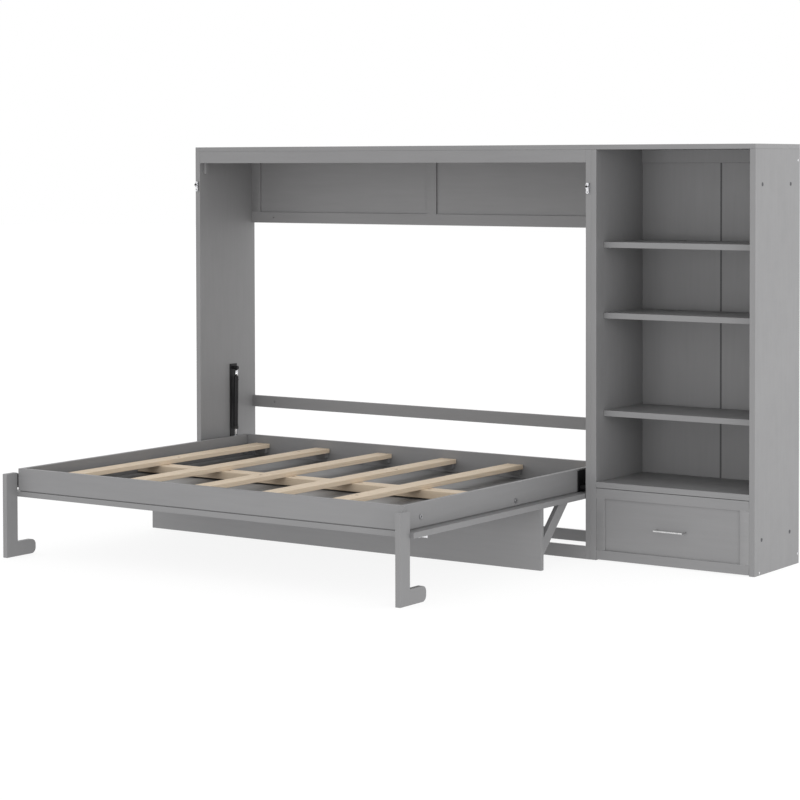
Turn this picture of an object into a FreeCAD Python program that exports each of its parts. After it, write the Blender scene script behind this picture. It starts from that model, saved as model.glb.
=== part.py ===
import FreeCAD, Part

import math
import os

# Side-opening wall bed with a bookcase tower, shown open.
# Working axes: X = 0 at the left outer face, Y = 0 at the cabinet's front plane with +Y to the wall,
# Z = 0 at the floor.  Every shape is moved by ORIGIN_SHIFT when it is saved, so that the finished
# model has its origin at the bottom centre of the whole object.

# ---- cabinet -------------------------------------------------------------------------------------
HEIGHT = 1715.0
WIDTH = 2862.0
DEPTH = 403.0
BOARD = 25.0                     # upright side panels
TOP_BOARD = 20.0
BAY_WIDTH = 2062.0               # clear width that the bed folds into
RAIL_BOARD = 20.0                # headers, floor rails and bed rails
BACK_BOARD = 19.0                # boards that lie against the wall
HEADER_HEIGHT = 53.0
REAR_HEADER_BOTTOM = 1361.0
FRAME_WIDTH = 50.0               # stiles and rails of the framed rear header
PANEL_SET_BACK = 8.0
MIDDLE_RAIL = (486.0, 539.0)     # bottom and top of the rail behind the bed
FLOOR_RAIL_HEIGHT = 52.0
REAR_FLOOR_RAIL_HEIGHT = 48.0
STOP_BLOCK = 14.0                # width of each stop block under the front header
STOP_FRONT = 28.0                # its front and rear faces, its height and its lower rear bevel
STOP_REAR = 50.0
STOP_HEIGHT = 50.0
STOP_BEVEL = (8.0, 12.0)

# ---- bookcase tower ------------------------------------------------------------------------------
SHELF_BOARD = 24.0
SHELF_TOPS = (616.0, 1021.0, 1314.0)
SHELF_SET_BACK = 61.0
FIXED_SHELF_TOP = 325.0
TOWER_TOP_RAIL = 55.0
TOWER_BACK_SEAM = 0.53           # place of the seam between the two back boards, as a share of width
SEAM_GAP = 4.0
STRIP_FLANGE = 8.0               # front and rear flanges of the strip that joins the two back boards
STRIP_THICKNESS = 0.8
BACK_BOARD_SET_BACK = 6.0
PLINTH_BOARD = 18.0
SHELF_FIT = 0.5                  # side gap of a loose shelf
PIN_REACH = 9.0
PIN_FROM_FRONT = 40.0
PIN_FROM_BACK = 50.0

# ---- drawer --------------------------------------------------------------------------------------
DRAWER_SIDE_GAP = 1.0
DRAWER_GAP = 2.0                 # above and behind the front
DRAWER_BOTTOM = 4.0
DRAWER_FRONT = 20.0
DRAWER_FRAME = 40.0
DRAWER_PANEL_SET_BACK = 6.0
DRAWER_WALL = 12.0
DRAWER_FLOOR = 6.0
DRAWER_DEPTH = 345.0             # length of the box behind its front
DRAWER_BOX_BOTTOM = 40.0
DRAWER_BOX_HEIGHT = 190.0
DRAWER_FLOOR_LIFT = 10.0         # height of the drawer's floor above its walls' lower edges
RUNNER_SPACE = 13.0              # side gap that each telescopic runner fills
RUNNER_END_GAP = 4.0
RUNNER_MEMBERS = ((0.0, 4.0, 45.0), (4.4, 8.2, 33.0), (8.6, 13.0, 25.0))   # near, far, height
HANDLE_CENTRES = 128.0
HANDLE_BAR = 4.0                 # bar radius
HANDLE_END = 2.0                 # length of the bar beyond each post
HANDLE_POST = 3.5                # post radius
HANDLE_SCREW = 2.5
HANDLE_STAND_OFF = 28.0
HANDLE_HEIGHT = 149.0

# ---- bed -----------------------------------------------------------------------------------------
FACE_HALF_WIDTH = 1028.0
FACE_BOTTOM = 250.0
FACE_BOARD = 22.0
FACE_REAR = 268.0
RAIL_HALF_WIDTH = 983.0
RAIL_HEIGHT = 96.0
RAIL_REBATE = (6.0, 4.0)         # depth and height of the shadow gap along the rails' lower outer edges
BED_FRONT = -1243.0
BED_REAR = 282.0
SLAT_WIDTH = 80.0
SLAT_BOARD = 20.0
SLAT_TOP = 332.0
SLAT_COUNT = 6
SLAT_PITCH = 349.0
SLAT_END_GAP = 1.0
BEAM_WIDTH = 75.0
BEAM_BOARD = 34.0
CLEAT = 22.0                     # depth and height of the blocks under the slats' ends
CLEAT_INSET = 8.0
CORNER_ARM = 45.0                # steel angles in the frame's corners
CORNER_STEEL = 3.0
CORNER_LIFT = 1.0
CORNER_HEIGHT = 36.0
DESK_FRONT = -346.0              # board under the bed, which becomes a shelf when the bed is closed
DESK_BOARD = 20.0
BRACE_WIDTH = 50.0
BRACE_BOARD = 20.0
BRACE_FOOT = 40.0                # height of the brace's lower corner
BRACE_INSET = 11.0

# ---- legs ----------------------------------------------------------------------------------------
LEG_HALF_WIDTH = 1010.0
LEG_BOARD = 22.0
LEG_FRONT = -1307.0
LEG_TOP = 350.0
FOOT_REACH = 106.0
FOOT_HEIGHT = 60.0
FOOT_RADIUS = 24.0
DOWEL_RADIUS = 4.0               # bolt hidden between each leg and the face panel's front edge
DOWEL_IN_LEG = 40.0
DOWEL_IN_PANEL = 45.0
ANGLE_STEEL = 3.0                # small steel angle between each leg and the side rail
ANGLE_BEHIND_LEG = 18.0
ANGLE_ON_RAIL = 14.0
ANGLE_SPAN = (289.0, 347.0)

# ---- folding mechanism ---------------------------------------------------------------------------
PIVOT_Y = 40.0
PIVOT_Z = 290.0
PIVOT_RADIUS = 9.0
PIVOT_CLEARANCE = 0.1
PIVOT_COLLAR = 13.0
PIVOT_END_GAP = 0.5
PLATE = 4.0
PLATE_ARM = 28.0                 # reach of the mechanism plate round its pins
PLATE_NOSE = (16.0, 6.0)         # bevelled corner by the pivot, clear of the turning bed
PLATE_HEAD = (22.0, 18.0)        # reach in front of and above the gas spring's stud
BRACKET_ARM = 25.0
BRACKET_MARGINS = (2.0, 6.0)     # gaps below and above the bracket on the bed's rail
STRUT_PLANE = 22.0               # distance of the gas springs from the bay's inner faces
STRUT_TOP = (233.0, 682.0)       # Y, Z of the stud on the cabinet
STRUT_FOOT = (225.0, 290.0)      # Y, Z of the stud on the bed
STUD_RADIUS = 5.0
STUD_HEAD = 3.0                  # thickness of the stud's head, and its rim beyond the stud
STUD_SPACER_RIM = 2.0
STUD_FIT = 0.1
EYE_RADIUS = 9.0
EYE_HALF_WIDTH = 6.0
EYE_GAP = 1.0                    # space on each side of an eye on its stud
FOOT_STUD_GAP = 1.5
CYLINDER_RADIUS = 11.0
CYLINDER_START = 40.0            # distances along the spring from its top stud
CYLINDER_END = 273.5
CYLINDER_WALL = 2.5
CYLINDER_GLAND = 8.0
ROD_RADIUS = 5.0
ROD_FIT = 0.3
PISTON_FIT = 0.5
PISTON_SPAN = (3.0, 9.0)         # along the spring from the cylinder's start
LATCH_Z = 1520.0
LATCH_LENGTH = 38.0
LATCH_WIDTH = 12.0
LATCH_BAR = 4.0
LATCH_LIFT = 5.0                 # clearance between the cabinet's front edge and the turning lever
LATCH_POST = 3.0
LATCH_PLATE_HALF_WIDTH = 9.0
LATCH_PLATE = 2.0
LATCH_PLATE_SPAN = (-8.0, 34.0)
LATCH_TAB = 10.0                 # how far the finger tab stands out
LATCH_TAB_SPAN = (14.0, 32.0)
STRIKE_REACH = (18.0, 40.0)      # before and behind the lever's axis when the bed is closed
STRIKE_STEEL = 1.5
STRIKE_SPAN = (2.0, 46.0)        # inner and outer ends, from the face panel's side
STRIKE_LIP = 9.0                 # down-turned lip below the face panel

# ---- hardware ------------------------------------------------------------------------------------
WALL_HOLE_RADIUS = 3.0
WALL_HOLE_SPREAD = 900.0
BOLT_HEAD_RADIUS = 10.0
BOLT_HEAD = 3.0
CORNER_BOLT = (110.0, 43.0)      # behind the rail's front end, above its lower edge
BEAM_BOLT_SHIFT = 15.0
SHELF_PIN_RADIUS = 2.5
CAP_RADIUS = 8.0
CAP_DEPTH = 2.0
CAP_HEIGHTS = (140.0, 1554.0)
CAP_PLACES = (62.0, 317.0)

BAY_LEFT = BOARD
BAY_RIGHT = BAY_LEFT + BAY_WIDTH
BAY_CENTRE = (BAY_LEFT + BAY_RIGHT) / 2
TOWER_LEFT = BAY_RIGHT + 2 * BOARD
TOWER_RIGHT = WIDTH - BOARD
TOWER_CENTRE = (TOWER_LEFT + TOWER_RIGHT) / 2
UNDER_TOP = HEIGHT - TOP_BOARD
BACK_FACE = DEPTH - BACK_BOARD
RAIL_BOTTOM = FACE_BOTTOM + FACE_BOARD
RAIL_TOP = RAIL_BOTTOM + RAIL_HEIGHT
RAIL_LEFT = BAY_CENTRE - RAIL_HALF_WIDTH
RAIL_RIGHT = BAY_CENTRE + RAIL_HALF_WIDTH
FACE_LEFT = BAY_CENTRE - FACE_HALF_WIDTH
FACE_RIGHT = BAY_CENTRE + FACE_HALF_WIDTH
BED_MIDDLE = (BED_FRONT + BED_REAR) / 2
SLAT_BOTTOM = SLAT_TOP - SLAT_BOARD
ORIGIN_SHIFT = FreeCAD.Vector(-WIDTH / 2, -(LEG_FRONT + DEPTH) / 2, 0)

X_AXIS = FreeCAD.Vector(1, 0, 0)
Y_AXIS = FreeCAD.Vector(0, 1, 0)


def board(x0, x1, y0, y1, z0, z1):
    return Part.makeBox(x1 - x0, y1 - y0, z1 - z0, FreeCAD.Vector(x0, y0, z0))


def rod_x(radius, x0, x1, y, z):
    return Part.makeCylinder(radius, x1 - x0, FreeCAD.Vector(x0, y, z), X_AXIS)


def rod_y(radius, y0, y1, x, z):
    return Part.makeCylinder(radius, y1 - y0, FreeCAD.Vector(x, y0, z), Y_AXIS)


def plate_x(x0, x1, outline):
    """A plate whose outline is a list of (y, z) corners."""
    points = [FreeCAD.Vector(x0, y, z) for y, z in outline]
    face = Part.Face(Part.makePolygon(points + points[:1]))
    return face.extrude(FreeCAD.Vector(x1 - x0, 0, 0))


def other_side(shape):
    """The same piece on the far side of the bed bay."""
    return shape.mirror(FreeCAD.Vector(BAY_CENTRE, 0, 0), X_AXIS)


def pair(shape):
    return Part.makeCompound([shape, other_side(shape)])


def save(name, shape):
    moved = shape.copy()
    moved.translate(ORIGIN_SHIFT)
    moved.exportStep("parts/" + name + ".step")


def cabinet_uprights():
    save("bay_right_side_panel", board(BAY_RIGHT, BAY_RIGHT + BOARD, 0, DEPTH, 0, UNDER_TOP))
    save("tower_left_side_panel", board(TOWER_LEFT - BOARD, TOWER_LEFT, 0, DEPTH, 0, UNDER_TOP))
    save("top_board", board(0, WIDTH, 0, DEPTH, UNDER_TOP, HEIGHT))


def cabinet_rails():
    save("front_header_rail",
         board(BAY_LEFT, BAY_RIGHT, 0, RAIL_BOARD, UNDER_TOP - HEADER_HEIGHT, UNDER_TOP))
    save("front_floor_rail", board(BAY_LEFT, BAY_RIGHT, 0, RAIL_BOARD, 0, FLOOR_RAIL_HEIGHT))
    save("rear_floor_rail", board(BAY_LEFT, BAY_RIGHT, BACK_FACE, DEPTH, 0, REAR_FLOOR_RAIL_HEIGHT))
    rail = board(BAY_LEFT, BAY_RIGHT, BACK_FACE, DEPTH, *MIDDLE_RAIL)
    save("middle_rear_rail", with_wall_holes(rail, sum(MIDDLE_RAIL) / 2))


def with_wall_holes(rail, z):
    for side in (-1, 1):
        x = BAY_CENTRE + side * WALL_HOLE_SPREAD
        rail = rail.cut(rod_y(WALL_HOLE_RADIUS, BACK_FACE - 1, DEPTH + 1, x, z))
    return rail


def rear_header():
    """Framed header of two rails and three stiles, with two set-back panels between the stiles."""
    bottom = REAR_HEADER_BOTTOM + FRAME_WIDTH
    top = UNDER_TOP - FRAME_WIDTH
    half_stile = FRAME_WIDTH / 2
    top_rail = board(BAY_LEFT, BAY_RIGHT, BACK_FACE, DEPTH, top, UNDER_TOP)
    bottom_rail = board(BAY_LEFT, BAY_RIGHT, BACK_FACE, DEPTH, REAR_HEADER_BOTTOM, bottom)
    end_stile = board(BAY_LEFT, BAY_LEFT + FRAME_WIDTH, BACK_FACE, DEPTH, bottom, top)
    middle_stile = board(BAY_CENTRE - half_stile, BAY_CENTRE + half_stile, BACK_FACE, DEPTH, bottom, top)
    bottom_rail = with_wall_holes(bottom_rail, REAR_HEADER_BOTTOM + half_stile)
    frame = [top_rail, bottom_rail, end_stile, middle_stile, other_side(end_stile)]
    save("rear_header_frame", Part.makeCompound(frame))
    panel = board(BAY_LEFT + FRAME_WIDTH, BAY_CENTRE - half_stile, BACK_FACE + PANEL_SET_BACK, DEPTH,
                  bottom, top)
    save("rear_header_panels", pair(panel))


def stop_blocks():
    """Tapered blocks under the header that catch the closing bed."""
    top = UNDER_TOP - HEADER_HEIGHT
    bottom = top - STOP_HEIGHT
    bevel_y, bevel_z = STOP_BEVEL
    outline = ((STOP_FRONT, top), (STOP_REAR, top), (STOP_REAR, bottom + bevel_z),
               (STOP_REAR - bevel_y, bottom), (STOP_FRONT, bottom))
    save("stop_blocks", pair(plate_x(BAY_LEFT, BAY_LEFT + STOP_BLOCK, outline)))


def mechanism_plates():
    """Steel plates on the bay's sides, each with the bed's pivot pin and the gas spring's top stud."""
    face = BAY_LEFT + PLATE
    top_y, top_z = STRUT_TOP
    long_nose, short_nose = PLATE_NOSE
    head_front, head_top = PLATE_HEAD
    outline = ((PIVOT_Y - long_nose, PIVOT_Z + PLATE_ARM), (PIVOT_Y - long_nose, PIVOT_Z - short_nose),
               (PIVOT_Y - short_nose, PIVOT_Z - long_nose), (top_y + PLATE_ARM, PIVOT_Z - long_nose),
               (top_y + PLATE_ARM, top_z + head_top), (top_y - head_front, top_z + head_top),
               (top_y - head_front, PIVOT_Z + 2 * PLATE_ARM), (PIVOT_Y + PLATE_ARM, PIVOT_Z + PLATE_ARM))
    plate = plate_x(BAY_LEFT, face, outline)
    pin = rod_x(PIVOT_RADIUS, face, RAIL_LEFT - PIVOT_END_GAP, PIVOT_Y, PIVOT_Z)
    collar = rod_x(PIVOT_COLLAR, face, RAIL_LEFT - PLATE - EYE_GAP, PIVOT_Y, PIVOT_Z)
    centre = BAY_LEFT + STRUT_PLANE
    eye_start = centre - EYE_HALF_WIDTH - EYE_GAP
    eye_end = centre + EYE_HALF_WIDTH + EYE_GAP
    stud = rod_x(STUD_RADIUS, face, eye_end, top_y, top_z)
    head = rod_x(STUD_RADIUS + STUD_HEAD, eye_end, eye_end + STUD_HEAD, top_y, top_z)
    spacer = rod_x(STUD_RADIUS + STUD_SPACER_RIM, face, eye_start, top_y, top_z)
    save("mechanism_plates", pair(plate.fuse([pin, collar, stud, head, spacer]).removeSplitter()))


def strut_direction():
    length = math.hypot(STRUT_FOOT[0] - STRUT_TOP[0], STRUT_FOOT[1] - STRUT_TOP[1])
    unit_y = (STRUT_FOOT[0] - STRUT_TOP[0]) / length
    unit_z = (STRUT_FOOT[1] - STRUT_TOP[1]) / length
    return length, FreeCAD.Vector(0, unit_y, unit_z)


def gas_springs():
    """Each spring is a cylinder on the cabinet's stud and a rod that reaches down to the bed's stud."""
    length, along = strut_direction()
    centre = BAY_LEFT + STRUT_PLANE
    start = FreeCAD.Vector(centre, *STRUT_TOP)

    def piece(radius, begin, end):
        return Part.makeCylinder(radius, end - begin, start + along * begin, along)

    def eye(distance):
        middle = start + along * distance
        ring = rod_x(EYE_RADIUS, centre - EYE_HALF_WIDTH, centre + EYE_HALF_WIDTH, middle.y, middle.z)
        bore = rod_x(STUD_RADIUS + STUD_FIT, centre - EYE_RADIUS, centre + EYE_RADIUS, middle.y, middle.z)
        return ring.cut(bore)

    inner = CYLINDER_RADIUS - CYLINDER_WALL
    tube = piece(CYLINDER_RADIUS, CYLINDER_START, CYLINDER_END)
    tube = tube.cut(piece(inner, CYLINDER_START + CYLINDER_WALL, CYLINDER_END - CYLINDER_GLAND))
    tube = tube.cut(piece(ROD_RADIUS + ROD_FIT, CYLINDER_END - CYLINDER_GLAND - 1, CYLINDER_END + 1))
    neck = piece(ROD_RADIUS, EYE_RADIUS - 1, CYLINDER_START)
    cylinder = tube.fuse([neck, eye(0)]).removeSplitter()
    piston_start, piston_end = PISTON_SPAN
    piston = piece(inner - PISTON_FIT, CYLINDER_START + piston_start, CYLINDER_START + piston_end)
    rod = piece(ROD_RADIUS, CYLINDER_START + piston_end, length - EYE_RADIUS + 1)
    rod = rod.fuse([piston, eye(length)]).removeSplitter()
    for shape, name in ((cylinder, "strut_cylinder"), (rod, "strut_rod")):
        save(name + "_left", shape)
        save(name + "_right", other_side(shape))


def latches():
    """Small turning levers on the front edges that hold the closed bed, and their plates."""
    x = BOARD / 2
    back = -LATCH_LIFT
    front = back - LATCH_BAR
    low, high = LATCH_PLATE_SPAN
    plate = board(x - LATCH_PLATE_HALF_WIDTH, x + LATCH_PLATE_HALF_WIDTH, -LATCH_PLATE, 0,
                  LATCH_Z + low, LATCH_Z + high)
    post = rod_y(LATCH_POST, front - 1, -LATCH_PLATE, x, LATCH_Z)
    save("latch_plates", pair(plate.fuse(post)))
    half = LATCH_WIDTH / 2
    bar = board(x - half, x + half, front, back, LATCH_Z, LATCH_Z + LATCH_LENGTH)
    boss = rod_y(half + 1, front, back + 1, x, LATCH_Z)
    low, high = LATCH_TAB_SPAN
    tab = board(x - 2, x + 2, front - LATCH_TAB, front + 1, LATCH_Z + low, LATCH_Z + high)
    bore = rod_y(LATCH_POST + STUD_FIT, front - 1, back + 1, x, LATCH_Z)
    lever = bar.fuse([boss, tab]).cut(bore).removeSplitter()
    save("latch_lever_left", lever)
    save("latch_lever_right", other_side(lever))


def tower():
    bottom = FIXED_SHELF_TOP - SHELF_BOARD
    save("tower_fixed_shelf", board(TOWER_LEFT, TOWER_RIGHT, 0, BACK_FACE, bottom, FIXED_SHELF_TOP))
    save("tower_bottom_board",
         board(TOWER_LEFT, TOWER_RIGHT, DRAWER_FRONT + DRAWER_GAP, BACK_FACE, 0, PLINTH_BOARD))
    top_rail = board(TOWER_LEFT, TOWER_RIGHT, BACK_FACE, DEPTH, UNDER_TOP - TOWER_TOP_RAIL, UNDER_TOP)
    bottom_rail = board(TOWER_LEFT, TOWER_RIGHT, BACK_FACE, DEPTH, 0, FRAME_WIDTH)
    save("tower_back_rails", Part.makeCompound([top_rail, bottom_rail]))
    seam = TOWER_LEFT + TOWER_BACK_SEAM * (TOWER_RIGHT - TOWER_LEFT)
    spans = ((TOWER_LEFT, seam), (seam + SEAM_GAP, TOWER_RIGHT))
    top = UNDER_TOP - TOWER_TOP_RAIL
    face = BACK_FACE + BACK_BOARD_SET_BACK
    rear = DEPTH - STRIP_THICKNESS
    boards = [board(x0, x1, face, rear, FRAME_WIDTH, top) for x0, x1 in spans]
    save("tower_back_boards", Part.makeCompound(boards))
    overlap = (STRIP_FLANGE - SEAM_GAP) / 2
    web = board(seam, seam + SEAM_GAP, face - STRIP_THICKNESS, DEPTH, FRAME_WIDTH, top)
    flanges = [board(seam - overlap, seam + SEAM_GAP + overlap, y, y + STRIP_THICKNESS, FRAME_WIDTH, top)
               for y in (face - STRIP_THICKNESS, rear)]
    save("tower_back_strip", web.fuse(flanges).removeSplitter())


def adjustable_shelves():
    rear = BACK_FACE - SHELF_FIT
    pins = []
    for number, top in enumerate(SHELF_TOPS, 1):
        bottom = top - SHELF_BOARD
        save("adjustable_shelf_%d" % number,
             board(TOWER_LEFT + SHELF_FIT, TOWER_RIGHT - SHELF_FIT, SHELF_SET_BACK, rear, bottom, top))
        for y in (SHELF_SET_BACK + PIN_FROM_FRONT, BACK_FACE - PIN_FROM_BACK):
            for x0, x1 in ((TOWER_LEFT, TOWER_LEFT + PIN_REACH), (TOWER_RIGHT - PIN_REACH, TOWER_RIGHT)):
                pins.append(rod_x(SHELF_PIN_RADIUS, x0, x1, y, bottom - SHELF_PIN_RADIUS))
    save("shelf_pins", Part.makeCompound(pins))


def outer_panels():
    """The cabinet's two outer sides, with round caps, flush in them, over the carcass bolts."""
    caps = []
    for z in CAP_HEIGHTS:
        for y in CAP_PLACES:
            caps.append(rod_x(CAP_RADIUS, WIDTH - CAP_DEPTH, WIDTH, y, z))
            caps.append(rod_x(CAP_RADIUS, 0, CAP_DEPTH, y, z))
    save("left_side_panel", board(0, BOARD, 0, DEPTH, 0, UNDER_TOP).cut(caps))
    save("tower_right_side_panel", board(TOWER_RIGHT, WIDTH, 0, DEPTH, 0, UNDER_TOP).cut(caps))
    save("side_bolt_caps", Part.makeCompound(caps))


def drawer_front():
    """Framed front with a set-back panel, which the handle's screws pass through."""
    left = TOWER_LEFT + DRAWER_SIDE_GAP
    right = TOWER_RIGHT - DRAWER_SIDE_GAP
    top = FIXED_SHELF_TOP - SHELF_BOARD - DRAWER_GAP
    x0, x1 = left + DRAWER_FRAME, right - DRAWER_FRAME
    z0, z1 = DRAWER_BOTTOM + DRAWER_FRAME, top - DRAWER_FRAME
    rails = [board(left, right, 0, DRAWER_FRONT, low, high) for low, high in ((DRAWER_BOTTOM, z0), (z1, top))]
    stiles = [board(low, high, 0, DRAWER_FRONT, z0, z1) for low, high in ((left, x0), (x1, right))]
    save("drawer_front_frame", Part.makeCompound(rails + stiles))
    panel = board(x0, x1, DRAWER_PANEL_SET_BACK, DRAWER_FRONT, z0, z1)
    screws = [rod_y(HANDLE_SCREW, 0, DRAWER_FRONT + 1, x, HANDLE_HEIGHT) for x in handle_posts()]
    save("drawer_front_panel", panel.cut(screws))


def drawer_box():
    left = TOWER_LEFT + RUNNER_SPACE
    right = TOWER_RIGHT - RUNNER_SPACE
    top = DRAWER_BOX_BOTTOM + DRAWER_BOX_HEIGHT
    rear = DRAWER_FRONT + DRAWER_DEPTH
    inner_left = left + DRAWER_WALL
    inner_right = right - DRAWER_WALL
    walls = [board(x0, x1, DRAWER_FRONT, rear, DRAWER_BOX_BOTTOM, top)
             for x0, x1 in ((left, inner_left), (inner_right, right))]
    walls.append(board(inner_left, inner_right, rear - DRAWER_WALL, rear, DRAWER_BOX_BOTTOM, top))
    save("drawer_box_sides", Part.makeCompound(walls))
    floor = DRAWER_BOX_BOTTOM + DRAWER_FLOOR_LIFT
    save("drawer_bottom", board(inner_left, inner_right, DRAWER_FRONT, rear - DRAWER_WALL,
                                floor, floor + DRAWER_FLOOR))


def drawer_runners():
    """Telescopic runners in three members on each side: on the tower, between, and on the drawer."""
    start = DRAWER_FRONT + RUNNER_END_GAP
    end = DRAWER_FRONT + DRAWER_DEPTH - RUNNER_END_GAP
    middle = DRAWER_BOX_BOTTOM + DRAWER_BOX_HEIGHT / 2
    for name, (near, far, height) in zip(("outer", "middle", "inner"), RUNNER_MEMBERS):
        low = middle - height / 2
        high = middle + height / 2
        strips = [board(TOWER_LEFT + near, TOWER_LEFT + far, start, end, low, high),
                  board(TOWER_RIGHT - far, TOWER_RIGHT - near, start, end, low, high)]
        save("runner_%s_members" % name, Part.makeCompound(strips))


def handle_posts():
    return TOWER_CENTRE - HANDLE_CENTRES / 2, TOWER_CENTRE + HANDLE_CENTRES / 2


def drawer_handle():
    """Bar handle: a straight round bar on two posts, with screws through the drawer's front."""
    first, last = handle_posts()
    bar = rod_x(HANDLE_BAR, first - HANDLE_END, last + HANDLE_END, -HANDLE_STAND_OFF, HANDLE_HEIGHT)
    pieces = []
    for x in (first, last):
        pieces.append(rod_y(HANDLE_POST, -HANDLE_STAND_OFF, DRAWER_PANEL_SET_BACK, x, HANDLE_HEIGHT))
        pieces.append(rod_y(HANDLE_SCREW, 0, DRAWER_FRONT, x, HANDLE_HEIGHT))
    save("drawer_handle", bar.fuse(pieces).removeSplitter())


def face_panel():
    """The board under the bed, which is the front of the closed cabinet, with its two leg bolt bores."""
    panel = board(FACE_LEFT, FACE_RIGHT, BED_FRONT, FACE_REAR, FACE_BOTTOM, RAIL_BOTTOM)
    dowel = leg_dowel()
    save("bed_face_panel", panel.cut([dowel, other_side(dowel)]))


def bed_rails():
    """Four rails on the face panel, each with a small shadow gap along its lower outer edge."""
    depth, height = RAIL_REBATE
    bottom = RAIL_BOTTOM + height
    front = board(RAIL_LEFT, RAIL_RIGHT, BED_FRONT, BED_FRONT + RAIL_BOARD, bottom, RAIL_TOP)
    front = front.fuse(board(RAIL_LEFT + depth, RAIL_RIGHT - depth, BED_FRONT + depth, BED_FRONT + RAIL_BOARD,
                             RAIL_BOTTOM, bottom))
    rear = board(RAIL_LEFT, RAIL_RIGHT, BED_REAR - RAIL_BOARD, BED_REAR, RAIL_BOTTOM, RAIL_TOP)
    left = board(RAIL_LEFT, RAIL_LEFT + RAIL_BOARD, BED_FRONT + RAIL_BOARD, BED_REAR - RAIL_BOARD,
                 bottom, RAIL_TOP)
    left = left.fuse(board(RAIL_LEFT + depth, RAIL_LEFT + RAIL_BOARD, BED_FRONT + RAIL_BOARD,
                           BED_REAR - RAIL_BOARD, RAIL_BOTTOM, bottom))
    left = left.removeSplitter()
    save("bed_front_rail", front.removeSplitter())
    save("bed_rear_rail", rear)
    save("bed_left_rail", left)
    save("bed_right_rail", other_side(left))


def bed_slats():
    """Six slats on blocks at the rails, with a beam under their middles."""
    inner_front = BED_FRONT + RAIL_BOARD
    inner_rear = BED_REAR - RAIL_BOARD
    beam = board(RAIL_LEFT + RAIL_BOARD, RAIL_RIGHT - RAIL_BOARD, BED_MIDDLE - BEAM_WIDTH / 2,
                 BED_MIDDLE + BEAM_WIDTH / 2, SLAT_BOTTOM - BEAM_BOARD, SLAT_BOTTOM)
    save("bed_centre_beam", beam)
    first = BAY_CENTRE - (SLAT_COUNT - 1) * SLAT_PITCH / 2
    half = SLAT_WIDTH / 2
    cleats = []
    for number in range(SLAT_COUNT):
        x = first + number * SLAT_PITCH
        slat = board(x - half, x + half, inner_front + SLAT_END_GAP, inner_rear - SLAT_END_GAP,
                     SLAT_BOTTOM, SLAT_TOP)
        save("slat_%d" % (number + 1), slat)
        for y in (inner_front, inner_rear - CLEAT):
            cleats.append(board(x - half + CLEAT_INSET, x + half - CLEAT_INSET, y, y + CLEAT,
                                SLAT_BOTTOM - CLEAT, SLAT_BOTTOM))
    save("slat_cleats", Part.makeCompound(cleats))


def bed_corner_brackets():
    """Steel angles inside the four corners of the bed's rails."""
    x = RAIL_LEFT + RAIL_BOARD
    z0 = RAIL_BOTTOM + CORNER_LIFT
    z1 = z0 + CORNER_HEIGHT
    brackets = []
    for y, step in ((BED_FRONT + RAIL_BOARD, 1), (BED_REAR - RAIL_BOARD, -1)):
        y_far = y + step * CORNER_ARM
        y_near = y + step * CORNER_STEEL
        along_side = board(x, x + CORNER_STEEL, min(y, y_far), max(y, y_far), z0, z1)
        along_end = board(x, x + CORNER_ARM, min(y, y_near), max(y, y_near), z0, z1)
        angle = along_side.fuse(along_end).removeSplitter()
        brackets += [angle, other_side(angle)]
    save("bed_corner_brackets", Part.makeCompound(brackets))


def leg_dowel():
    """Bolt hidden between the left leg's back and the face panel's front edge."""
    x = BAY_CENTRE - LEG_HALF_WIDTH + LEG_BOARD / 2
    return rod_y(DOWEL_RADIUS, BED_FRONT - DOWEL_IN_LEG, BED_FRONT + DOWEL_IN_PANEL, x,
                 FACE_BOTTOM + FACE_BOARD / 2)


def bed_bolts():
    """Low round bolt heads on the side rails' outer faces, and the hidden bolts of the legs."""
    corner_y, corner_z = CORNER_BOLT
    side_bolts = ((BED_FRONT + corner_y, RAIL_BOTTOM + corner_z),
                  (BED_MIDDLE + BEAM_BOLT_SHIFT, SLAT_BOTTOM - BEAM_BOARD / 2))
    dowel = leg_dowel()
    bolts = [dowel, other_side(dowel)]
    for y, z in side_bolts:
        head = rod_x(BOLT_HEAD_RADIUS, RAIL_LEFT - BOLT_HEAD, RAIL_LEFT, y, z)
        bolts += [head, other_side(head)]
    save("bed_bolts", Part.makeCompound(bolts))


def legs():
    """J-shaped legs against the face panel's front edge."""
    x0 = BAY_CENTRE - LEG_HALF_WIDTH
    x1 = x0 + LEG_BOARD
    toe = BED_FRONT + FOOT_REACH
    post = board(x0, x1, LEG_FRONT, BED_FRONT, 0, LEG_TOP)
    foot = board(x0, x1, LEG_FRONT, toe, 0, FOOT_HEIGHT)
    toe_edges = [edge for edge in foot.Edges
                 if abs(edge.CenterOfMass.y - toe) < 1e-6 and x0 + 1 < edge.CenterOfMass.x < x1 - 1]
    foot = foot.makeFillet(FOOT_RADIUS, toe_edges)
    leg = post.fuse(foot).removeSplitter().cut(leg_dowel())
    save("left_leg", leg)
    save("right_leg", other_side(leg))


def leg_brackets():
    """Small steel angles that close the gap between the legs' backs and the side rails."""
    leg_inner = BAY_CENTRE - LEG_HALF_WIDTH + LEG_BOARD
    z0, z1 = ANGLE_SPAN
    behind = board(leg_inner - ANGLE_BEHIND_LEG, RAIL_LEFT, BED_FRONT, BED_FRONT + ANGLE_STEEL, z0, z1)
    along = board(RAIL_LEFT - ANGLE_STEEL, RAIL_LEFT, BED_FRONT, BED_FRONT + ANGLE_ON_RAIL, z0, z1)
    save("leg_brackets", pair(behind.fuse(along).removeSplitter()))


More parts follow.
